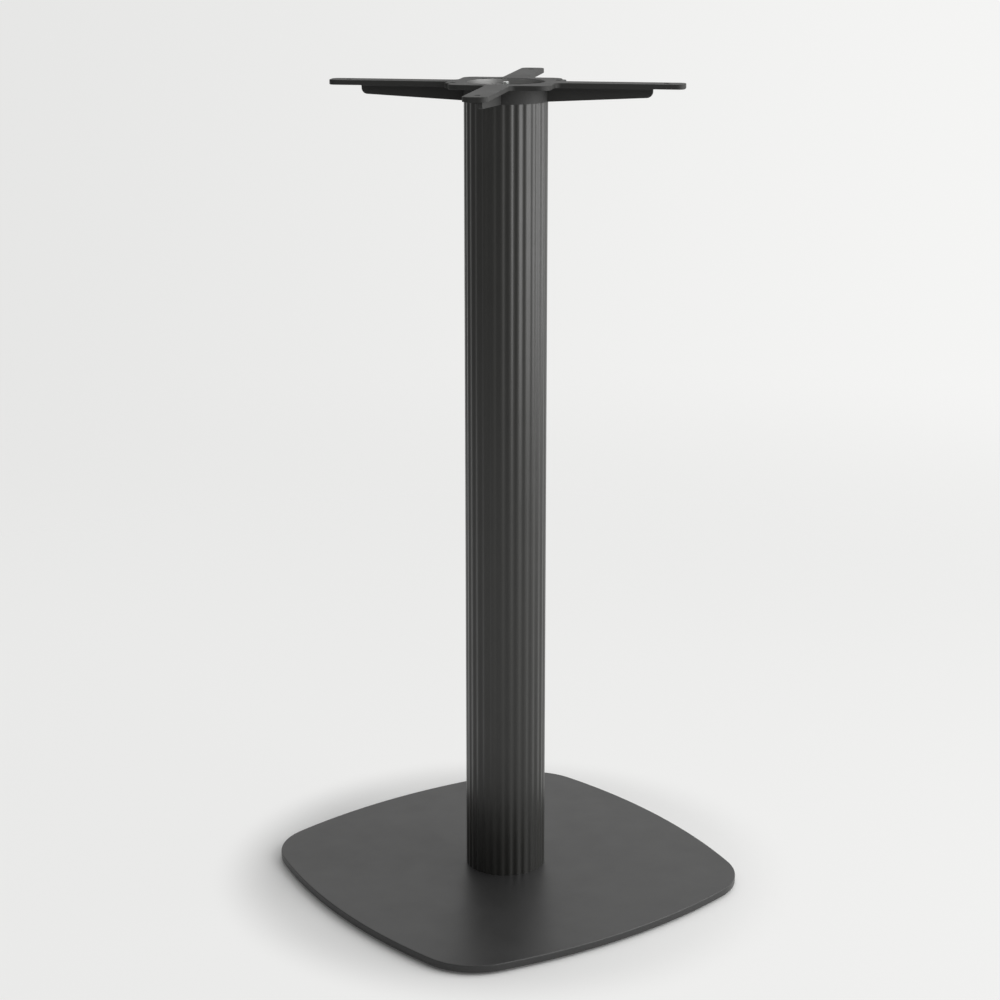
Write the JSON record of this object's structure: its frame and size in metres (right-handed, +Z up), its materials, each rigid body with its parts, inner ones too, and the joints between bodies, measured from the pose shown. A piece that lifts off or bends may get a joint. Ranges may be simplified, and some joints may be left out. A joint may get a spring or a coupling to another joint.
{
  "type": "bar table base",
  "caption": "Bar-height table base: bowed square foot plate, reeded round column and a cross-shaped cast spider that carries the table top.",
  "frame": {"origin": "on the floor under the column's axis, at the centre of the glides' contact plane", "axes": "+Z up along the column; X and Y square to the sides of the foot plate, with the spider's arms over its corners"},
  "size_m": [0.5498, 0.5498, 1.108],
  "materials": {
    "plate_coat": "anthracite fine-texture powder coat on steel",
    "column_coat": "anthracite fine-texture powder coat on extruded aluminium",
    "spider_coat": "anthracite fine-texture powder coat on cast aluminium",
    "bare_aluminium": "turned, uncoated",
    "zinc_plate": "bright zinc plate",
    "glide_plastic": "black moulded polyamide"
  },
  "bodies": {
    "root": {"centring_disc": "bare_aluminium", "column": "column_coat", "disc_screw_1": "zinc_plate", "disc_screw_2": "zinc_plate", "disc_screw_3": "zinc_plate", "disc_screw_4": "zinc_plate", "foot_plate": "plate_coat", "glide_1": "glide_plastic", "glide_2": "glide_plastic", "glide_3": "glide_plastic", "glide_4": "glide_plastic", "rod_lock_nut": "zinc_plate", "tie_rod": "zinc_plate", "top_nut": "zinc_plate", "top_spider": "spider_coat", "top_washer": "zinc_plate"}
  },
  "joints": []
}
